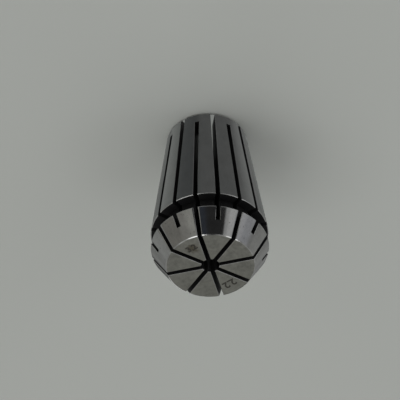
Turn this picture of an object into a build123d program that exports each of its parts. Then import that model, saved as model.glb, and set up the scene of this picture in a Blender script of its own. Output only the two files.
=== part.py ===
from build123d import *
import math
import os

# ER20 spring collet for a 1/8 inch shank, one turned, slotted, hardened and ground
# piece of steel. Millimetres and degrees. The axis is Z: the small back end stands
# on z = 0 and the front face, where the tool goes in, is at the top.

# Outer form
overall_length = 31.5
largest_diameter = 21.0  # the big end of the taper and the rim of the nose
taper_half_angle = 8.0  # the long cone that seats in the holder
nose_half_angle = 30.0  # the short cone that the clamping nut presses on
nose_length = 4.5  # from the face back to the rim
rim_width = 0.2  # straight band between the nose cone and the nut groove
groove_width = 3.1
groove_depth = 1.8  # below the largest diameter

# Inside
bore_diameter = 3.175
grip_length = 16.0  # length of the bore that holds the shank, from the face
relief_diameter = 8.0  # wider hole behind the bore, open at the back end
relief_point_angle = 118.0  # cone that the drill leaves at the end of the relief

# Saw slots, which let the body close evenly over its whole length
slots_per_end = 8
slot_width = 0.8
back_bridge = 2.4  # metal left behind the slots that start at the face
face_bridge = 2.4  # metal left in front of the slots that start at the back end
core_diameter = 6.0  # metal left round the bore by the slots from the back end

# Broken edges
face_edge_break = 0.12
rim_edge_break = 0.1
taper_edge_break = 0.15
back_edge_chamfer = 0.5
bore_mouth_chamfer = 0.12
relief_mouth_chamfer = 0.3

# How far a cutting tool runs past the metal it cuts
tool_overrun = 1.0


def slope(angle, run):
    """Radius gained over an axial run on a cone of this half angle."""
    return run * math.tan(math.radians(angle))


face_height = overall_length
rim_height = face_height - nose_length
groove_top = rim_height - rim_width
groove_bottom = groove_top - groove_width
largest_radius = largest_diameter / 2
groove_radius = largest_radius - groove_depth
face_radius = largest_radius - slope(nose_half_angle, nose_length)
back_radius = largest_radius - slope(taper_half_angle, groove_bottom)

bore_radius = bore_diameter / 2
relief_radius = relief_diameter / 2
bore_start = face_height - grip_length
point_length = (relief_radius - bore_radius) / math.tan(math.radians(relief_point_angle / 2))
relief_depth = bore_start - point_length


def on_section(radius, height):
    """A point of the half section, which lies in the XZ plane."""
    return Vector(radius, 0, height)


def broken(section, radius, height, length):
    """The half section with the corner at this point cut back by length."""
    corner = section.vertices().sort_by_distance(on_section(radius, height))[0]
    return chamfer(corner, length)


def half_section():
    """Half of the lengthwise section, from the bore wall out to the skin."""
    corners = [
        (relief_radius, 0),
        (back_radius, 0),
        (largest_radius, groove_bottom),
        (groove_radius, groove_bottom),
        (groove_radius, groove_top),
        (largest_radius, groove_top),
        (largest_radius, rim_height),
        (face_radius, face_height),
        (bore_radius, face_height),
        (bore_radius, bore_start),
        (relief_radius, relief_depth),
    ]
    outline = Polyline([on_section(*corner) for corner in corners], close=True)
    section = make_face(outline)
    section = broken(section, relief_radius, 0, relief_mouth_chamfer)
    section = broken(section, back_radius, 0, back_edge_chamfer)
    section = broken(section, largest_radius, groove_bottom, taper_edge_break)
    section = broken(section, largest_radius, groove_top, rim_edge_break)
    section = broken(section, face_radius, face_height, face_edge_break)
    section = broken(section, bore_radius, face_height, bore_mouth_chamfer)
    return section


def saw_cut(inner_radius, low, high):
    """One saw cut along +X, from inner_radius out past the skin."""
    depth = largest_radius + tool_overrun - inner_radius
    corner = (Align.MIN, Align.CENTER, Align.MIN)
    return Pos(inner_radius, 0, low) * Box(depth, slot_width, high - low, align=corner)


def slots_from_face():
    """Slots that run from the face through the bore, and stop short of the back end."""
    cut = saw_cut(0, back_bridge, face_height + tool_overrun)
    return [place * cut for place in PolarLocations(0, slots_per_end)]


def slots_from_back():
    """Slots between the others, open at the back end, that stop short of the face and the bore."""
    cut = saw_cut(core_diameter / 2, -tool_overrun, face_height - face_bridge)
    half_pitch = 360 / slots_per_end / 2
    return [place * cut for place in PolarLocations(0, slots_per_end, start_angle=half_pitch)]


def collet():
    """The whole collet: the turned blank with both sets of slots sawn through it."""
    blank = revolve(half_section(), Axis.Z)
    return blank - slots_from_face() - slots_from_back()


os.makedirs("parts", exist_ok=True)
body = collet()
body.label = "collet"
export_step(body, "parts/collet.step")
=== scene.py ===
import logging
import math
from contextlib import contextmanager
from dataclasses import dataclass
from enum import Enum
from typing import Any, Iterator, Optional, Sequence, Union

import bpy
from mathutils import Matrix, Vector


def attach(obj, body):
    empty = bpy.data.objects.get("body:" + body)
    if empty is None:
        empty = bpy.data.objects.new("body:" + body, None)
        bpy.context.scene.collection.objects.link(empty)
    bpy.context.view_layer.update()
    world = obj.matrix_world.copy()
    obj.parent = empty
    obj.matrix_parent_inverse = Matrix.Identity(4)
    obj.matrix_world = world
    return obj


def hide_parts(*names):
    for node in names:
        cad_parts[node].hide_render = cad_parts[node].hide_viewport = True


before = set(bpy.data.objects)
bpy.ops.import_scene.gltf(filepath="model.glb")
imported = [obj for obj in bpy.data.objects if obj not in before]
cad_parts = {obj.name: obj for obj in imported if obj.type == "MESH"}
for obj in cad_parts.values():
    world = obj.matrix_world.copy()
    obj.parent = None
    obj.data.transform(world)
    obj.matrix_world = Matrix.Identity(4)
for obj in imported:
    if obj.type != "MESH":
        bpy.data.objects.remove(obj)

# A slotted spring collet, modelled in millimetres and brought to metres at the end. It is
# turned from a ring, slit by sixteen saw cuts, deburred and etched, as the real one is made.

MM = 0.001
log = logging.getLogger("collet")

Colour = tuple[float, float, float]
Point = tuple[float, float, float]
Linkable = Union[float, Colour, bpy.types.NodeSocket, "Value"]


# ---------------------------------------------------------------- shader arithmetic


class Value:
    """A number that varies over a surface, with the arithmetic that a pattern needs."""

    def __init__(self, shader: "Shader", socket: bpy.types.NodeSocket) -> None:
        """Wraps a socket of the given shader."""
        self.shader = shader
        self.socket = socket

    def _math(self, operation: str, *others: Linkable) -> "Value":
        """Adds one Math node.

        Args:
            operation: the Math node's operation.
            others: the values that go in after this one.

        Returns:
            The node's result.
        """
        inputs = dict(enumerate([self, *others]))
        node = self.shader.add("ShaderNodeMath", {"operation": operation}, inputs)
        return Value(self.shader, node.outputs[0])

    def _reflected(self, operation: str, other: Linkable) -> "Value":
        """The same, with the other value in front of this one."""
        node = self.shader.add("ShaderNodeMath", {"operation": operation}, {0: other, 1: self})
        return Value(self.shader, node.outputs[0])

    def __add__(self, other: Linkable) -> "Value":
        """This value plus another."""
        return self._math("ADD", other)

    __radd__ = __add__

    def __mul__(self, other: Linkable) -> "Value":
        """This value times another."""
        return self._math("MULTIPLY", other)

    __rmul__ = __mul__

    def __sub__(self, other: Linkable) -> "Value":
        """This value less another."""
        return self._math("SUBTRACT", other)

    def __rsub__(self, other: Linkable) -> "Value":
        """Another value less this one."""
        return self._reflected("SUBTRACT", other)

    def __truediv__(self, other: Linkable) -> "Value":
        """This value divided by another."""
        return self._math("DIVIDE", other)

    def __rtruediv__(self, other: Linkable) -> "Value":
        """Another value divided by this one."""
        return self._reflected("DIVIDE", other)

    def __pow__(self, other: Linkable) -> "Value":
        """This value to a power."""
        return self._math("POWER", other)

    def __rpow__(self, other: Linkable) -> "Value":
        """Another value to the power of this one."""
        return self._reflected("POWER", other)

    def clamped_arc(self, function: str) -> "Value":
        """An inverse sine or cosine of this value, in degrees."""
        inside = self._math("MINIMUM", 1.0)._math("MAXIMUM", -1.0)
        return inside._math(function) * math.degrees(1)

    def step(self, start: float, end: float) -> "Value":
        """A smooth rise from 0 to 1.

        Args:
            start: what this value is where the rise is 0.
            end: what it is where the rise is 1, which may be less than start.

        Returns:
            The rise.
        """
        settings = {"interpolation_type": "SMOOTHSTEP", "clamp": True}
        inputs = {"Value": self, "From Min": start, "From Max": end, "To Min": 0.0, "To Max": 1.0}
        if start > end:
            inputs.update({"From Min": end, "From Max": start, "To Min": 1.0, "To Max": 0.0})
        return Value(self.shader, self.shader.add("ShaderNodeMapRange", settings, inputs).outputs[0])


class Shader:
    """The node tree of one material or of the world."""

    def __init__(self, tree: bpy.types.NodeTree) -> None:
        """Empties the tree, so that it holds only what is added here."""
        self.tree = tree
        tree.nodes.clear()

    def add(self, kind: str, settings: Optional[dict[str, Any]] = None,
            inputs: Optional[dict[Union[str, int], Linkable]] = None) -> bpy.types.Node:
        """Adds a node, sets it up, and then fills its sockets.

        Args:
            kind: the node's type name.
            settings: the node's own properties, which are set first.
            inputs: a value or a link for each named or numbered socket.

        Returns:
            The new node.
        """
        node = self.tree.nodes.new(kind)
        for name, value in (settings or {}).items():
            setattr(node, name, value)
        for key, value in (inputs or {}).items():
            socket = node.inputs[key]
            if isinstance(value, Value):
                value = value.socket
            if isinstance(value, bpy.types.NodeSocket):
                self.tree.links.new(value, socket)
            elif isinstance(value, tuple) and socket.type == "RGBA":
                socket.default_value = (*value, 1.0)
            else:
                socket.default_value = value
        return node

    def place(self) -> bpy.types.NodeSocket:
        """Reads where the shader is on the piece.

        Returns:
            The point, in millimetres.
        """
        object_place = self.add("ShaderNodeTexCoord").outputs["Object"]
        settings = {"operation": "SCALE"}
        scaled = self.add("ShaderNodeVectorMath", settings, {0: object_place, "Scale": 1 / MM})
        return scaled.outputs[0]

    def parts(self, vector: bpy.types.NodeSocket) -> tuple[Value, Value, Value]:
        """The x, y and z of a vector."""
        node = self.add("ShaderNodeSeparateXYZ", {}, {0: vector})
        return tuple(Value(self, socket) for socket in node.outputs)

    def vector(self, x: Linkable, y: Linkable, z: Linkable) -> bpy.types.NodeSocket:
        """A vector put together from three values."""
        return self.add("ShaderNodeCombineXYZ", {}, {0: x, 1: y, 2: z}).outputs[0]

    def dot(self, vector: bpy.types.NodeSocket, direction: Point) -> Value:
        """How far a vector reaches along a fixed direction."""
        node = self.add("ShaderNodeVectorMath", {"operation": "DOT_PRODUCT"}, {0: vector, 1: direction})
        return Value(self, node.outputs["Value"])

    def noise(self, vector: bpy.types.NodeSocket, scale: float, detail: float = 2.0,
              roughness: float = 0.5) -> Value:
        """Cloudy noise about 0, from roughly -1 to 1.

        Args:
            vector: where the noise is read.
            scale: bumps for each unit of the vector.
            detail: octaves of finer noise on top.
            roughness: how strong the finer octaves are.

        Returns:
            The noise.
        """
        inputs = {"Vector": vector, "Scale": scale, "Detail": detail, "Roughness": roughness}
        node = self.add("ShaderNodeTexNoise", {"noise_dimensions": "3D", "normalize": True}, inputs)
        return (Value(self, node.outputs[0]) - 0.5) * 2.0

    def mix(self, share: Linkable, first: Linkable, second: Linkable,
            blend: str = "MIX") -> bpy.types.NodeSocket:
        """Blends two colours.

        Args:
            share: 0 for the first colour alone and 1 for all of the blend.
            first: the colour underneath.
            second: the colour on top.
            blend: the Mix node's way of blending.

        Returns:
            The blended colour.
        """
        settings = {"data_type": "RGBA", "blend_type": blend, "clamp_factor": True}
        colour_a, colour_b, colour_result = 6, 7, 2  # the Mix node's own sockets for colours
        node = self.add("ShaderNodeMix", settings, {0: share, colour_a: first, colour_b: second})
        return node.outputs[colour_result]

    def brighten(self, colour: Linkable, gain: Value) -> bpy.types.NodeSocket:
        """A colour times a gain that varies over the surface."""
        grey = self.add("ShaderNodeCombineColor", {}, {0: gain, 1: gain, 2: gain}).outputs[0]
        return self.mix(1.0, colour, grey, "MULTIPLY")

    def bump(self, height: Value, reach: float = 1.0) -> bpy.types.NodeSocket:
        """A surface normal tilted by a height, where a height of 1 stands for reach millimetres."""
        return self.add("ShaderNodeBump", {}, {"Height": height, "Distance": reach * MM}).outputs[0]


# ---------------------------------------------------------------- finishes


class Grain(Enum):
    """Which way the fine lines of a finish run."""

    AROUND_CONE = "around the axis, on a cone or a cylinder"
    AROUND_FACE = "around the axis, on a flat face"
    ALONG_CUT = "along a saw cut"


class Zone(Enum):
    """The areas of the collet that are finished alike, by material name."""

    TAPER = "ground_taper"
    NOSE = "ground_nose"
    FACE = "ground_face"
    RIM = "ground_rim"
    GROOVE = "blackened_groove"
    BORE = "ground_bore"
    RELIEF = "blackened_relief"
    BACK = "turned_back_end"
    EDGE = "polished_edge"
    DEBURRED = "deburred_slot_edge"
    SAWN = "sawn_slot"
    ETCHED = "etched_mark"


@dataclass(frozen=True)
class Steel:
    """One finish of hardened steel: its colour, gloss, grain and handling marks.

    A tone says how much a pattern varies the colour, a gloss how much it varies the
    roughness, and a scale how many bumps it has to a millimetre.
    """

    colour: Colour
    roughness: float
    grain: Grain
    line_pitch: float = 0.08  # millimetres from one fine line to the next
    line_drift: float = 0.12  # bumps to a millimetre along a fine line
    line_height: float = 0.0002  # millimetres
    line_tone: float = 0.06
    line_gloss: float = 0.02
    cloud_scale: float = 0.35
    cloud_tone: float = 0.10
    cloud_gloss: float = 0.04
    mottle_scale: float = 1.7
    mottle_tone: float = 0.0
    streak_scale: float = 2.6
    streak_squeeze: float = 0.06  # its scale along the axis over its scale across it
    streak_tone: float = 0.0
    wave_scale: float = 1.6
    wave_height: float = 0.0  # millimetres
    speck_scale: float = 3.4
    speck_levels: tuple[float, float] = (0.34, 0.52)  # of the noise, where a speck starts and is full
    speck_tone: float = 0.0
    metallic: float = 1.0  # 0 for the dark matt finishes
    specular: float = 0.5

    def _along_grain(self, shader: Shader) -> bpy.types.NodeSocket:
        """Finds where the grain's noise is read.

        Args:
            shader: the finish's node tree.

        Returns:
            A vector that changes slowly along the grain and once a line across it.
        """
        x, y, z = shader.parts(shader.place())
        slow = self.line_drift
        fast = 1 / self.line_pitch
        if self.grain is Grain.AROUND_CONE:
            return shader.vector(x * slow, y * slow, z * fast)
        if self.grain is Grain.ALONG_CUT:
            return shader.vector(x * fast, y * fast, z * slow)
        radius = (x * x + y * y) ** 0.5
        return shader.vector(x * slow, y * slow, radius * fast)

    def _colour(self, shader: Shader, lines: Value, clouds: Value) -> bpy.types.NodeSocket:
        """Varies the steel's colour.

        Args:
            shader: the finish's node tree.
            lines: the noise of the fine lines.
            clouds: the noise of the broad clouding.

        Returns:
            The colour with its lines, clouding, blotches, streaks and specks.
        """
        gain = lines * self.line_tone + clouds * self.cloud_tone + 1.0
        if self.mottle_tone:
            mottle = shader.noise(shader.place(), self.mottle_scale, detail=2.0, roughness=0.6)
            gain = gain + mottle * self.mottle_tone
        if self.streak_tone:
            x, y, z = shader.parts(shader.place())
            drawn_out = shader.vector(x, y, z * self.streak_squeeze)
            streaks = shader.noise(drawn_out, self.streak_scale, detail=2.0, roughness=0.6)
            gain = gain + streaks * self.streak_tone
        if self.speck_tone:
            specks = shader.noise(shader.place(), self.speck_scale, detail=1.0)
            gain = gain * (1.0 - specks.step(*self.speck_levels) * self.speck_tone)
        return shader.brighten(self.colour, gain)

    def dress(self, name: str) -> bpy.types.Material:
        """Builds the material.

        Args:
            name: the material's name.

        Returns:
            The new material.
        """
        material = bpy.data.materials.new(name)
        material.use_nodes = True
        shader = Shader(material.node_tree)
        lines = shader.noise(self._along_grain(shader), 1.0, detail=3.0, roughness=0.65)
        clouds = shader.noise(shader.place(), self.cloud_scale, detail=3.0, roughness=0.55)
        height = lines * self.line_height
        if self.wave_height:
            waves = shader.noise(shader.place(), self.wave_scale, detail=1.0)
            height = height + waves * self.wave_height
        inputs = {
            "Base Color": self._colour(shader, lines, clouds),
            "Metallic": self.metallic,
            "Specular IOR Level": self.specular,
            "Roughness": clouds * self.cloud_gloss + lines * self.line_gloss + self.roughness,
            "Normal": shader.bump(height),
        }
        principled = shader.add("ShaderNodeBsdfPrincipled", {}, inputs)
        shader.add("ShaderNodeOutputMaterial", {}, {"Surface": principled.outputs[0]})
        return material


@dataclass(frozen=True)
class StainedSteel(Steel):
    """Steel with a brown stain left beside a mark."""

    stain: Colour = (0.062, 0.052, 0.033)
    stain_place: Point = (0.0, 0.0, 0.0)  # millimetres
    stain_radius: float = 1.6
    stain_core: float = 0.2  # share of the radius over which it is full
    stain_raggedness: float = 0.6  # share of the radius by which its edge wanders
    stain_scale: float = 1.6
    stain_share: float = 0.75  # how much of the steel's colour it covers

    def _colour(self, shader: Shader, lines: Value, clouds: Value) -> bpy.types.NodeSocket:
        """Browns the steel's colour round the stain's centre.

        Args:
            shader: the finish's node tree.
            lines: the noise of the fine lines.
            clouds: the noise of the broad clouding.

        Returns:
            The colour with its stain, which has a ragged edge.
        """
        plain = super()._colour(shader, lines, clouds)
        place = shader.place()
        settings = {"operation": "DISTANCE"}
        away = shader.add("ShaderNodeVectorMath", settings, {0: place, 1: self.stain_place})
        ragged = shader.noise(place, self.stain_scale, detail=3.0, roughness=0.6)
        edge = Value(shader, away.outputs["Value"]) + ragged * (self.stain_raggedness * self.stain_radius)
        mask = edge.step(self.stain_radius, self.stain_core * self.stain_radius) * self.stain_share
        return shader.mix(mask, plain, self.stain)


# A near-black matt finish, for the groove and the relief.
NEAR_BLACK = Steel((0.0065, 0.0065, 0.0068), 0.55, Grain.AROUND_CONE, line_tone=0.30, cloud_tone=0.4,
                  metallic=0.0, specular=0.12)
FINISHES: dict[Zone, Steel] = {
    Zone.TAPER: Steel((0.168, 0.171, 0.169), 0.19, Grain.AROUND_CONE, line_tone=0.08, cloud_tone=0.20,
                      mottle_tone=0.08, streak_tone=0.10, speck_tone=0.20),
    Zone.NOSE: Steel((0.190, 0.190, 0.189), 0.10, Grain.AROUND_CONE, line_tone=0.08, cloud_tone=0.18,
                     cloud_gloss=0.03, mottle_tone=0.12, streak_tone=0.14, speck_tone=0.50),
    Zone.FACE: StainedSteel((0.170, 0.170, 0.153), 0.30, Grain.AROUND_FACE, line_tone=0.14,
                            cloud_tone=0.36, mottle_tone=0.34, speck_tone=0.35,
                            stain_place=(2.0, -5.2, 31.5)),
    Zone.RIM: Steel((0.170, 0.170, 0.168), 0.20, Grain.AROUND_CONE),
    Zone.GROOVE: NEAR_BLACK,
    Zone.BORE: Steel((0.160, 0.160, 0.166), 0.38, Grain.AROUND_CONE),
    Zone.RELIEF: NEAR_BLACK,
    Zone.BACK: Steel((0.150, 0.151, 0.148), 0.34, Grain.AROUND_FACE),
    Zone.EDGE: Steel((0.260, 0.260, 0.257), 0.11, Grain.AROUND_CONE, line_tone=0.04, cloud_tone=0.35,
                     mottle_tone=0.30, wave_height=0.006),
    Zone.DEBURRED: Steel((0.260, 0.260, 0.257), 0.20, Grain.AROUND_CONE, cloud_tone=0.4,
                         mottle_tone=0.30),
    Zone.SAWN: Steel((0.0080, 0.0080, 0.0084), 0.55, Grain.ALONG_CUT, cloud_tone=0.3, metallic=0.0,
                     specular=0.2),
    Zone.ETCHED: Steel((0.022, 0.020, 0.016), 0.60, Grain.AROUND_FACE, cloud_tone=0.3, metallic=0.0,
                       specular=0.3),
}
ZONES = list(Zone)  # in the order of the collet's material slots
SKIN = (Zone.BACK, Zone.TAPER, Zone.RIM, Zone.NOSE, Zone.FACE)  # what the slots run across


# ---------------------------------------------------------------- the bench


class SelectBy(Enum):
    """What is selected in edit mode, by its switches for points, edges and faces."""

    EDGES = (False, True, False)
    FACES = (False, False, True)


class Workpiece:
    """A mesh on the bench. It is modelled in millimetres with Blender's own tools."""

    def __init__(self, piece: bpy.types.Object) -> None:
        """Takes charge of an object."""
        self.piece = piece

    def pick(self) -> None:
        """Makes this the only selected object, and the active one."""
        bpy.ops.object.select_all(action="DESELECT")
        self.piece.select_set(True)
        bpy.context.view_layer.objects.active = self.piece

    @contextmanager
    def editing(self, select_by: SelectBy = SelectBy.EDGES) -> Iterator[None]:
        """Goes into edit mode on this piece alone, and out of it again afterwards.

        Args:
            select_by: what is selected meanwhile.

        Returns:
            A context to work in.
        """
        self.pick()
        bpy.context.tool_settings.mesh_select_mode = select_by.value
        bpy.ops.object.mode_set(mode="EDIT")
        yield
        bpy.ops.object.mode_set(mode="OBJECT")

    def clear_selection(self) -> None:
        """Leaves nothing of the mesh selected. It is called in object mode."""
        mesh = self.piece.data
        for group in (mesh.vertices, mesh.edges, mesh.polygons):
            group.foreach_set("select", [False] * len(group))

    def select_ring(self, radius: float, height: float, slack: float) -> None:
        """Selects just the edges of one ring round the axis. It is called in object mode.

        Args:
            radius: the ring's radius.
            height: its height.
            slack: how far off the ring a point may be.
        """
        self.clear_selection()
        mesh = self.piece.data
        for edge in mesh.edges:
            ends = [mesh.vertices[index].co for index in edge.vertices]
            edge.select = all(
                abs(end.xy.length - radius) < slack and abs(end.z - height) < slack for end in ends
            )

    def select_zones(self, zones: set[Zone]) -> None:
        """Selects just the faces in some finishes. It is called in object mode.

        Args:
            zones: the zones whose faces are selected.
        """
        self.clear_selection()
        slots = {ZONES.index(zone) for zone in zones}
        for face in self.piece.data.polygons:
            face.select = face.material_index in slots

    def tidy(self, gap: float) -> None:
        """Cleans the mesh up.

        Args:
            gap: points closer than this are merged, and then all faces are turned outwards.
        """
        with self.editing():
            bpy.ops.mesh.select_all(action="SELECT")
            bpy.ops.mesh.remove_doubles(threshold=gap)
            bpy.ops.mesh.normals_make_consistent(inside=False)

    def settle(self) -> None:
        """Moves the object's own place, turn and size into its mesh."""
        self.pick()
        bpy.ops.object.transform_apply(location=True, rotation=True, scale=True)

    def paint(self, materials: dict[Zone, bpy.types.Material], zone: Zone) -> None:
        """Gives the whole piece the finish of one zone."""
        self.piece.data.materials.clear()
        self.piece.data.materials.append(materials[zone])

    def cut_away(self, tools: Sequence["Workpiece"], crossing: bool = False) -> None:
        """Takes the room of some tools out of this piece, and clears the tools away.

        Args:
            tools: closed pieces, whose own finish stays on the faces that they cut.
            crossing: whether a tool's own faces may cross one another.
        """
        rack = bpy.data.collections.new("rack")
        bpy.context.scene.collection.children.link(rack)
        for tool in tools:
            for home in list(tool.piece.users_collection):
                home.objects.unlink(tool.piece)
            rack.objects.link(tool.piece)
        self.pick()
        cut = self.piece.modifiers.new("cut", "BOOLEAN")
        cut.operation = "DIFFERENCE"
        cut.operand_type = "COLLECTION"
        cut.solver = "EXACT"
        cut.material_mode = "TRANSFER"
        cut.use_self = crossing
        cut.collection = rack
        bpy.ops.object.modifier_apply(modifier=cut.name)
        for tool in tools:
            bpy.data.meshes.remove(tool.piece.data)
        bpy.data.collections.remove(rack)


# ---------------------------------------------------------------- the collet


@dataclass(frozen=True)
class Stretch:
    """A straight stretch of the turned outline, from one corner to the next, in millimetres."""

    start: tuple[float, float]  # radius and height
    end: tuple[float, float]
    zone: Zone

    def along(self) -> Vector:
        """The stretch as a vector in the plane of radius and height."""
        return Vector(self.end) - Vector(self.start)

    def outward(self) -> Vector:
        """The unit normal away from the metal, with the outline run anticlockwise."""
        run = self.along().normalized()
        return Vector((run.y, -run.x))

    def holds(self, radius: float, height: float, slack: float) -> bool:
        """Tells whether a point of the outline's plane lies on this stretch.

        Args:
            radius: the point's distance from the axis.
            height: its height.
            slack: how far off the stretch it may be.

        Returns:
            Whether it lies there.
        """
        run = self.along()
        offset = Vector((radius, height)) - Vector(self.start)
        share = offset.dot(run) / run.length_squared
        reach = slack / run.length
        return abs(offset.dot(self.outward())) < slack and -reach < share < 1 + reach

    def between(self, low: float, high: float, overrun: float) -> Optional[tuple[Vector, Vector]]:
        """Finds the length of this stretch that a cut between two heights runs along.

        Args:
            low: the cut's lower end.
            high: its upper end.
            overrun: how far the length is drawn out where the cut runs past the stretch.

        Returns:
            The two ends of the length, the lower one first, or None where the cut misses it.
        """
        lower, upper = sorted((Vector(self.start), Vector(self.end)), key=lambda corner: corner.y)
        if upper.y < low or lower.y > high:
            return None
        run = upper - lower
        rise = upper.y - lower.y
        if not rise:
            return lower, upper
        past = run.normalized() * overrun
        start = lower + run * ((low - lower.y) / rise) if low > lower.y else lower - past
        end = lower + run * ((high - lower.y) / rise) if high < upper.y else upper + past
        return start, end


@dataclass(frozen=True)
class EdgeBreak:
    """A turned edge that is broken all round."""

    edge: tuple[float, float]  # radius and height
    size: float
    zone: Zone  # its finish
    steps: int = 1  # 1 for a flat chamfer, more for a rounded edge


@dataclass(frozen=True)
class Mark:
    """A plain number etched into the face."""

    text: str
    angle: float  # degrees round the axis
    height: float  # of a numeral


@dataclass
class SpringCollet:
    """The collet, in one piece: a turned blank with two sets of saw slots and its marks.

    Lengths are in millimetres and angles in degrees.
    """

    length: float = 31.5
    largest_diameter: float = 21.0
    taper_half_angle: float = 8.0
    nose_half_angle: float = 30.0
    nose_length: float = 4.5
    rim_width: float = 0.2
    groove_width: float = 3.1
    groove_depth: float = 1.8
    bore_diameter: float = 3.175
    grip_length: float = 16.0
    relief_diameter: float = 8.0
    relief_point_angle: float = 118.0
    slots_per_end: int = 8
    slot_width: float = 0.8
    back_bridge: float = 2.4
    face_bridge: float = 2.4
    core_diameter: float = 6.0  # what the slots from the back end leave whole
    face_edge_break: float = 0.12
    rim_edge_break: float = 0.1
    nose_edge_break: float = 0.045
    taper_edge_break: float = 0.15
    back_edge_chamfer: float = 0.5
    bore_mouth_chamfer: float = 0.12
    relief_mouth_chamfer: float = 0.3
    slot_edge_break: float = 0.07
    rounding_steps: int = 5
    segments: int = 192  # facets round the axis
    blade_overrun: float = 1.0  # how far a saw blade stands out of the metal
    deburrer_lift: float = 0.5  # from the skin to the middle of the bar that breaks a slot's edges
    deburrer_overrun: float = 0.2
    marks: tuple[Mark, ...] = (Mark("3.2", -67.5, 1.25), Mark("2.2", 112.5, 1.5))
    mark_radius: float = 5.6  # middle of the marks, from the axis
    mark_spacing: float = 0.95  # share of the type's own spacing
    mark_weight: float = 0.055  # how much the numerals are thickened
    mark_depth: float = 0.03
    mark_curve_steps: int = 3
    numeral_share: float = 0.7  # height of a numeral over the size of its type
    smooth_angle: float = 25.0  # facets that meet at less are shaded as one surface
    rounded_angle: float = 60.0  # a broken slot edge is shaded so where it turns by less
    slack: float = 0.01  # how far off its place a point may be and still be found there
    turned_gap: float = 0.001  # points of the turned blank closer than this are one
    cut_gap: float = 0.0005  # and the same after the cuts

    def outline(self) -> list[Stretch]:
        """Works out the lengthwise section.

        Returns:
            Its straight stretches, run anticlockwise from the relief's mouth.
        """
        rim = self.length - self.nose_length
        groove_top = rim - self.rim_width
        groove_bottom = groove_top - self.groove_width
        largest = self.largest_diameter / 2
        groove = largest - self.groove_depth
        face = largest - self.nose_length * math.tan(math.radians(self.nose_half_angle))
        back = largest - groove_bottom * math.tan(math.radians(self.taper_half_angle))
        bore = self.bore_diameter / 2
        relief = self.relief_diameter / 2
        bore_start = self.length - self.grip_length
        point = (relief - bore) / math.tan(math.radians(self.relief_point_angle / 2))
        corners = [
            ((relief, 0.0), Zone.BACK),
            ((back, 0.0), Zone.TAPER),
            ((largest, groove_bottom), Zone.GROOVE),
            ((groove, groove_bottom), Zone.GROOVE),
            ((groove, groove_top), Zone.GROOVE),
            ((largest, groove_top), Zone.RIM),
            ((largest, rim), Zone.NOSE),
            ((face, self.length), Zone.FACE),
            ((bore, self.length), Zone.BORE),
            ((bore, bore_start), Zone.RELIEF),
            ((relief, bore_start - point), Zone.RELIEF),
        ]
        nexts = corners[1:] + corners[:1]
        return [Stretch(here, there, zone) for (here, zone), (there, _) in zip(corners, nexts)]

    def skin(self) -> dict[Zone, Stretch]:
        """The stretches that the slots run across, by zone."""
        return {stretch.zone: stretch for stretch in self.outline() if stretch.zone in SKIN}

    def turn(self, materials: dict[Zone, bpy.types.Material]) -> Workpiece:
        """Turns the blank: a ring is drawn out along the outline, corner by corner, and closed.

        Args:
            materials: the finishes, by zone.

        Returns:
            The blank, with sharp edges and every face in its own zone's finish.
        """
        outline = self.outline()
        radius = outline[0].start[0]
        bpy.ops.object.select_all(action="DESELECT")
        bpy.ops.mesh.primitive_circle_add(vertices=self.segments, radius=radius, fill_type="NOTHING")
        blank = Workpiece(bpy.context.object)
        with blank.editing():
            bpy.ops.mesh.select_all(action="SELECT")
            for stretch in outline:
                rise = stretch.end[1] - stretch.start[1]
                growth = stretch.end[0] / stretch.start[0]
                bpy.ops.mesh.extrude_edges_move(TRANSFORM_OT_translate={"value": (0, 0, rise)})
                bpy.ops.transform.resize(value=(growth, growth, 1), center_override=(0, 0, 0))
        blank.tidy(self.turned_gap)
        mesh = blank.piece.data
        for zone in ZONES:
            mesh.materials.append(materials[zone])
        for face in mesh.polygons:
            radius, height = face.center.xy.length, face.center.z
            found = [s.zone for s in outline if s.holds(radius, height, self.slack)]
            face.material_index = ZONES.index(found[0])
        return blank

    def break_edges(self, blank: Workpiece) -> None:
        """Breaks the turned edges, flat or rounded.

        Args:
            blank: the turned blank.
        """
        skin = self.skin()
        breaks = [
            EdgeBreak(skin[Zone.BACK].start, self.relief_mouth_chamfer, Zone.RELIEF),
            EdgeBreak(skin[Zone.BACK].end, self.back_edge_chamfer, Zone.BACK),
            EdgeBreak(skin[Zone.TAPER].end, self.taper_edge_break, Zone.EDGE, self.rounding_steps),
            EdgeBreak(skin[Zone.RIM].start, self.rim_edge_break, Zone.EDGE, self.rounding_steps),
            EdgeBreak(skin[Zone.RIM].end, self.nose_edge_break, Zone.EDGE),
            EdgeBreak(skin[Zone.NOSE].end, self.face_edge_break, Zone.EDGE),
            EdgeBreak(skin[Zone.FACE].end, self.bore_mouth_chamfer, Zone.EDGE),
        ]
        for broken in breaks:
            blank.select_ring(*broken.edge, self.slack)
            with blank.editing():
                bpy.ops.mesh.bevel(offset=broken.size, segments=broken.steps, affect="EDGES",
                                   clamp_overlap=False, material=ZONES.index(broken.zone))

    def saw_blade(self, angle: float, inner: float, low: float, high: float) -> Workpiece:
        """The room that one saw cut takes, from inner radius out past the skin.

        Args:
            angle: where the cut lies round the axis.
            inner: how deep it goes, as a radius.
            low: its lower end.
            high: its upper end.

        Returns:
            The tool.
        """
        outer = self.largest_diameter / 2 + self.blade_overrun
        middle = (inner + outer) / 2
        turn = math.radians(angle)
        place = (middle * math.cos(turn), middle * math.sin(turn), (low + high) / 2)
        bpy.ops.mesh.primitive_cube_add(size=1, location=place, rotation=(0, 0, turn),
                                        scale=(outer - inner, self.slot_width, high - low))
        tool = Workpiece(bpy.context.object)
        tool.settle()
        return tool

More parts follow.
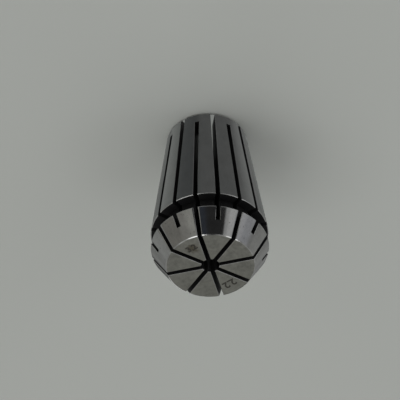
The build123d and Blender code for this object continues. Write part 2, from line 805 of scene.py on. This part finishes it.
    def deburrer(self, angle: float, start: Vector, end: Vector, outward: Vector) -> Workpiece:
        """A square bar laid on its corner along a slot, which chamfers both the slot's edges.

        Args:
            angle: where the slot lies round the axis.
            start: one end of the skin's line, as radius and height.
            end: its other end.
            outward: the skin's normal there.

        Returns:
            The tool.
        """
        half_diagonal = self.deburrer_lift + self.slot_width / 2 + self.slot_edge_break
        side = half_diagonal * math.sqrt(2)
        middle = (start + end) / 2 + outward * self.deburrer_lift
        run = end - start
        turn = math.radians(angle)
        lean = math.atan2(-run.y, run.x)
        on_corner = math.radians(45)
        place = (middle.x * math.cos(turn), middle.x * math.sin(turn), middle.y)
        bpy.ops.mesh.primitive_cube_add(size=1, location=place, rotation=(on_corner, lean, turn),
                                        scale=(run.length, side, side))
        tool = Workpiece(bpy.context.object)
        tool.settle()
        return tool

    def slot_tools(self, angle: float, inner: float, low: float, high: float,
                   materials: dict[Zone, bpy.types.Material]) -> list[Workpiece]:
        """Everything that cuts one slot: the saw blade and a deburrer for each stretch of skin.

        Args:
            angle: where the slot lies round the axis.
            inner: how deep it goes, as a radius.
            low: its lower end.
            high: its upper end.
            materials: the finishes, by zone.

        Returns:
            The tools, dressed in the finish that they leave.
        """
        blade = self.saw_blade(angle, inner, low, high)
        blade.paint(materials, Zone.SAWN)
        tools = [blade]
        for stretch in self.skin().values():
            ends = stretch.between(low, high, self.deburrer_overrun)
            if ends is None:
                continue
            tool = self.deburrer(angle, *ends, stretch.outward())
            tool.paint(materials, Zone.DEBURRED)
            tools.append(tool)
        return tools

    def saw(self, blank: Workpiece, materials: dict[Zone, bpy.types.Material]) -> None:
        """Saws both sets of slots, the ones from the back end between the ones from the face.

        Args:
            blank: the turned blank.
            materials: the finishes, by zone.
        """
        pitch = 360 / self.slots_per_end
        top = self.length + self.blade_overrun
        core = self.core_diameter / 2
        tools: list[Workpiece] = []
        for number in range(self.slots_per_end):
            angle = number * pitch
            tools += self.slot_tools(angle, 0.0, self.back_bridge, top, materials)
            tools += self.slot_tools(angle + pitch / 2, core, -self.blade_overrun,
                                     self.length - self.face_bridge, materials)
        blank.cut_away(tools)

    def stamp(self, mark: Mark) -> Workpiece:
        """Sets one number in type, on the face, with its top towards the rim.

        Args:
            mark: the number.

        Returns:
            The tool that etches it.
        """
        turn = math.radians(mark.angle)
        quarter = math.radians(90)
        bpy.ops.object.select_all(action="DESELECT")
        bpy.ops.object.text_add()
        type_object = bpy.context.object
        type_object.data.body = mark.text
        type_object.data.size = mark.height / self.numeral_share
        type_object.data.extrude = self.mark_depth
        type_object.data.offset = self.mark_weight
        type_object.data.space_character = self.mark_spacing
        type_object.data.align_x = "CENTER"
        type_object.data.align_y = "CENTER"
        type_object.data.resolution_u = self.mark_curve_steps
        bpy.ops.object.convert(target="MESH")
        tool = Workpiece(bpy.context.object)
        tool.piece.location = (self.mark_radius * math.cos(turn), self.mark_radius * math.sin(turn),
                               self.length)
        tool.piece.rotation_euler = (0, 0, turn - quarter)
        tool.settle()
        tool.tidy(self.cut_gap)
        return tool

    def etch(self, blank: Workpiece, materials: dict[Zone, bpy.types.Material]) -> None:
        """Sinks the plain size numbers into the face.

        Args:
            blank: the slotted blank.
            materials: the finishes, by zone.
        """
        for mark in self.marks:
            tool = self.stamp(mark)
            tool.paint(materials, Zone.ETCHED)
            blank.cut_away([tool], crossing=True)

    def rounded_edges(self, collet: Workpiece) -> set[tuple[int, int]]:
        """Finds the edges that are shaded as if they were rounded.

        Args:
            collet: the cut collet.

        Returns:
            The keys of the edges between the skin and the broken edges of the slots.
        """
        deburred = ZONES.index(Zone.DEBURRED)
        skin = {ZONES.index(zone) for zone in SKIN}
        beside: dict[tuple[int, int], list[bpy.types.MeshPolygon]] = {}
        for face in collet.piece.data.polygons:
            for key in face.edge_keys:
                beside.setdefault(key, []).append(face)
        rounded = set()
        for key, faces in beside.items():
            zones = {face.material_index for face in faces}
            if len(faces) == 2 and deburred in zones and zones & skin:
                if faces[0].normal.angle(faces[1].normal) < math.radians(self.rounded_angle):
                    rounded.add(key)
        return rounded

    def smooth(self, collet: Workpiece) -> None:
        """Shades the cones smooth, the flats flat, and the deburred edges as if they were rounded.

        Args:
            collet: the cut collet.
        """
        collet.pick()
        bpy.ops.object.shade_smooth_by_angle(angle=math.radians(self.smooth_angle))
        rounded = self.rounded_edges(collet)
        collet.clear_selection()
        for edge in collet.piece.data.edges:
            edge.select = edge.key in rounded
        with collet.editing():
            bpy.ops.mesh.mark_sharp(clear=True)
        collet.select_zones({Zone.FACE, Zone.ETCHED})
        with collet.editing(SelectBy.FACES):
            bpy.ops.mesh.faces_shade_flat()
        collet.select_zones({Zone.DEBURRED})
        with collet.editing(SelectBy.FACES):
            bpy.ops.mesh.mod_weighted_strength(set=True, face_strength="WEAK")
            bpy.ops.mesh.select_all(action="INVERT")
            bpy.ops.mesh.mod_weighted_strength(set=True, face_strength="STRONG")
        flats = collet.piece.modifiers.new("flats", "WEIGHTED_NORMAL")
        flats.keep_sharp = True
        flats.use_face_influence = True
        bpy.ops.object.modifier_apply(modifier=flats.name)

    def build(self) -> bpy.types.Object:
        """Makes the whole collet.

        Returns:
            The finished object, in metres, at the origin.
        """
        materials = {zone: FINISHES[zone].dress(zone.value) for zone in ZONES}
        collet = self.turn(materials)
        self.break_edges(collet)
        self.saw(collet, materials)
        self.etch(collet, materials)
        collet.tidy(self.cut_gap)
        with collet.editing():
            bpy.ops.mesh.select_all(action="SELECT")
            bpy.ops.transform.resize(value=(MM, MM, MM), center_override=(0, 0, 0))
        self.smooth(collet)
        collet.piece.name = "slotted_collet"
        return collet.piece


# ---------------------------------------------------------------- the studio


@dataclass(frozen=True)
class Card:
    """A light or a dark card round the collet, by the directions that it fills, in degrees."""

    bearing: float  # of its middle, round from the camera towards the view's right
    half_width: float
    low: float  # elevation of its lower and upper edges
    high: float
    colour: Colour
    soft: float = 4.0  # over which its edges fade

    def goes_round(self) -> bool:
        """Whether it stands all the way round."""
        return self.half_width >= 180


@dataclass(frozen=True)
class Disc:
    """A round soft lamp or shade overhead, by the direction of its middle, in degrees."""

    bearing: float
    elevation: float
    radius: float
    colour: Colour
    soft: float = 12.0  # over which its edge fades


@dataclass
class Studio:
    """The floor, the light and the camera."""

    azimuth: float = -13.109  # degrees, and the camera looks along +Y at 0
    elevation: float = 44.825
    roll: float = 178.355  # the camera is held upside down
    distance: float = 1.0  # metres
    target_height: float = 0.0189
    right_shift: float = -0.001612
    up_shift: float = 0.002735
    lens: float = 504.07  # millimetres
    sensor: float = 36.0
    near_limit: float = 0.05  # metres from the camera
    far_limit: float = 20.0
    floor_radius: float = 3.0
    floor_opening: float = 0.0067  # under the collet, so that light comes through its bore
    floor_facets: int = 96
    floor_colour: Colour = (0.405, 0.416, 0.399)
    floor_roughness: float = 0.9
    floor_specular: float = 0.2
    backdrop_colour: Colour = (0.200, 0.209, 0.198)
    wall_colour: Colour = (0.60, 0.605, 0.59)
    discs: tuple[Disc, ...] = (
        Disc(-68.0, 65.0, 17.5, (3.3, 3.33, 3.3), 6.0),
        Disc(-88.5, 58.3, 7.5, (0.65, 0.66, 0.64), 10.5),
        Disc(81.5, 61.5, 9.0, (2.4, 2.42, 2.4), 6.0),
        Disc(10.0, 75.5, 6.5, (0.12, 0.12, 0.12), 5.0),
    )
    cards: tuple[Card, ...] = (
        # The floor's place, seen in the steel, with its darker stretches.
        Card(0.0, 180.0, -24.0, 0.0, (0.55, 0.56, 0.54), 8.0),
        Card(0.0, 180.0, -91.0, -24.0, (0.33, 0.335, 0.33), 8.0),
        Card(-55.0, 30.0, -75.0, -40.0, (0.22, 0.23, 0.23), 6.0),
        Card(-108.0, 24.0, -75.0, -38.0, (0.48, 0.50, 0.48), 8.0),
        Card(111.0, 18.0, -75.0, -38.0, (0.46, 0.47, 0.46), 6.0),
        Card(180.0, 42.0, -75.0, -38.0, (0.23, 0.24, 0.23), 14.0),
        Card(0.0, 96.0, -51.0, -30.0, (0.09, 0.09, 0.095), 8.0),
        Card(-164.0, 16.0, -46.0, -26.0, (0.13, 0.135, 0.13), 8.0),
        Card(-141.0, 8.0, -26.0, -15.0, (0.45, 0.46, 0.44), 6.0),
        Card(172.0, 9.0, -48.0, -26.0, (0.21, 0.215, 0.21), 8.0),
        Card(163.0, 8.0, -58.0, -43.0, (0.25, 0.26, 0.25), 6.0),
        Card(0.0, 32.0, -25.0, -10.0, (1.0, 1.0, 1.0), 4.0),
        Card(-108.0, 16.0, -24.0, 2.0, (0.74, 0.76, 0.73), 8.0),
        Card(109.0, 13.0, -24.0, 2.0, (0.70, 0.71, 0.68), 8.0),
        # The soft boxes and black flags that stand round the collet.
        Card(-60.0, 38.0, -10.0, 34.0, (0.54, 0.53, 0.48), 6.0),
        Card(-44.0, 16.0, -10.0, 34.0, (0.66, 0.65, 0.60), 10.0),
        Card(-34.0, 10.0, -10.0, 34.0, (0.86, 0.86, 0.79), 14.0),
        Card(5.75, 26.75, -10.0, 26.0, (0.070, 0.070, 0.070), 4.0),
        Card(-14.0, 8.0, -10.0, 26.0, (0.095, 0.107, 0.130), 10.0),
        Card(43.5, 11.5, -10.0, 40.0, (1.27, 1.28, 1.27), 4.0),
        Card(33.5, 3.5, -10.0, 40.0, (0.95, 0.96, 0.95), 3.0),
        Card(71.5, 16.5, -10.0, 34.0, (0.88, 0.90, 0.94), 12.0),
        Card(62.0, 7.0, -10.0, 34.0, (1.13, 1.14, 1.17), 6.0),
        Card(172.0, 15.0, -20.0, 26.0, (0.09, 0.09, 0.09), 3.0),
        Card(-163.0, 10.0, -20.0, 30.0, (1.2, 1.2, 1.2), 3.0),
    )

    def camera_axes(self) -> tuple[Vector, Vector, Vector]:
        """Works out how the camera is held.

        Returns:
            The unit vectors from the collet to the camera, to the camera's right and to its top.
        """
        turn, rise, roll = (math.radians(v) for v in (self.azimuth, self.elevation, self.roll))
        back = Vector((math.sin(turn) * math.cos(rise), -math.cos(turn) * math.cos(rise), math.sin(rise)))
        level = Vector((math.cos(turn), math.sin(turn), 0.0))
        upright = back.cross(level)
        right = level * math.cos(roll) + upright * math.sin(roll)
        top = upright * math.cos(roll) - level * math.sin(roll)
        return back, right, top

    def set_camera(self) -> bpy.types.Object:
        """Puts the camera at its viewing angle, with a long lens.

        Returns:
            The camera.
        """
        back, right, top = self.camera_axes()
        target = Vector((0.0, 0.0, self.target_height))
        place = target + back * self.distance + right * self.right_shift + top * self.up_shift
        data = bpy.data.cameras.new("camera")
        data.lens = self.lens
        data.sensor_width = self.sensor
        data.clip_start = self.near_limit
        data.clip_end = self.far_limit
        camera = bpy.data.objects.new("camera", data)
        bpy.context.scene.collection.objects.link(camera)
        turn = Matrix((right, top, back)).transposed()
        camera.matrix_world = Matrix.Translation(place) @ turn.to_4x4()
        bpy.context.scene.camera = camera
        return camera

    def lay_floor(self) -> bpy.types.Object:
        """Lays a plain pale floor, open under the collet. The steel shows the cards in its place.

        Returns:
            The floor.
        """
        bpy.ops.object.select_all(action="DESELECT")
        bpy.ops.mesh.primitive_circle_add(vertices=self.floor_facets, radius=self.floor_opening,
                                          fill_type="NOTHING")
        floor = Workpiece(bpy.context.object)
        growth = self.floor_radius / self.floor_opening
        with floor.editing():
            bpy.ops.mesh.select_all(action="SELECT")
            bpy.ops.mesh.extrude_edges_move(TRANSFORM_OT_translate={"value": (0, 0, 0)})
            bpy.ops.transform.resize(value=(growth, growth, 1), center_override=(0, 0, 0))
        floor.piece.name = "floor"
        floor.piece.data.materials.append(self.floor_finish())
        floor.piece.visible_glossy = False
        floor.piece.visible_shadow = False
        return floor.piece

    def floor_finish(self) -> bpy.types.Material:
        """Mixes the floor's plain matt finish.

        Returns:
            The new material.
        """
        material = bpy.data.materials.new("floor")
        material.use_nodes = True
        shader = Shader(material.node_tree)
        inputs = {
            "Base Color": self.floor_colour,
            "Roughness": self.floor_roughness,
            "Specular IOR Level": self.floor_specular,
        }
        principled = shader.add("ShaderNodeBsdfPrincipled", {}, inputs)
        shader.add("ShaderNodeOutputMaterial", {}, {"Surface": principled.outputs[0]})
        return material

    def heading(self, bearing: float) -> tuple[float, float]:
        """The level direction at a bearing, as x and y, for a camera held upside down."""
        way = math.radians(self.azimuth - bearing)
        return math.sin(way), -math.cos(way)

    def card_mask(self, shader: Shader, direction: bpy.types.NodeSocket, card: Card) -> Value:
        """Finds where a card is seen.

        Args:
            shader: the world's node tree.
            direction: the direction looked in.
            card: the card.

        Returns:
            1 on the card and 0 off it.
        """
        _, _, height = shader.parts(direction)
        rise = height.clamped_arc("ARCSINE")
        half = card.soft / 2
        mask = rise.step(card.low - half, card.low + half) * rise.step(card.high + half, card.high - half)
        if card.goes_round():
            return mask
        level = (1.0 - height * height) ** 0.5
        towards = (*self.heading(card.bearing), 0.0)
        across = (shader.dot(direction, towards) / level).clamped_arc("ARCCOSINE")
        return mask * across.step(card.half_width + half, card.half_width - half)

    def disc_mask(self, shader: Shader, direction: bpy.types.NodeSocket, disc: Disc) -> Value:
        """Finds where a disc is seen.

        Args:
            shader: the world's node tree.
            direction: the direction looked in.
            disc: the disc.

        Returns:
            1 on the disc and 0 off it.
        """
        rise = math.radians(disc.elevation)
        x, y = self.heading(disc.bearing)
        middle = (x * math.cos(rise), y * math.cos(rise), math.sin(rise))
        off = shader.dot(direction, middle).clamped_arc("ARCCOSINE")
        return off.step(disc.radius + disc.soft / 2, disc.radius - disc.soft / 2)

    def light(self) -> None:
        """Lights the collet softly from all round, with discs and cards that the steel can show."""
        world = bpy.data.worlds.new("studio")
        bpy.context.scene.world = world
        world.use_nodes = True
        shader = Shader(world.node_tree)
        direction = shader.add("ShaderNodeTexCoord").outputs["Generated"]
        seen: Linkable = self.wall_colour
        for card in self.cards:
            seen = shader.mix(self.card_mask(shader, direction, card), seen, card.colour)
        for disc in self.discs:
            seen = shader.mix(self.disc_mask(shader, direction, disc), seen, disc.colour)
        is_camera = shader.add("ShaderNodeLightPath").outputs["Is Camera Ray"]
        colour = shader.mix(is_camera, seen, self.backdrop_colour)
        background = shader.add("ShaderNodeBackground", {}, {"Color": colour, "Strength": 1.0})
        shader.add("ShaderNodeOutputWorld", {}, {"Surface": background.outputs[0]})

    def build(self) -> None:
        """Sets up the whole studio."""
        bpy.context.scene.view_settings.view_transform = "Standard"
        self.lay_floor()
        self.light()
        self.set_camera()


# ---------------------------------------------------------------- putting it together


def main() -> None:
    """Builds the collet and its studio."""
    logging.basicConfig(level=logging.INFO, format="%(name)s: %(message)s")
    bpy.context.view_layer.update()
    collet = SpringCollet().build()
    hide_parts("collet")
    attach(collet, "root")
    log.info("%s: %d faces", collet.name, len(collet.data.polygons))
    Studio().build()
    log.info("studio is set")


if __name__ == "__main__":
    main()
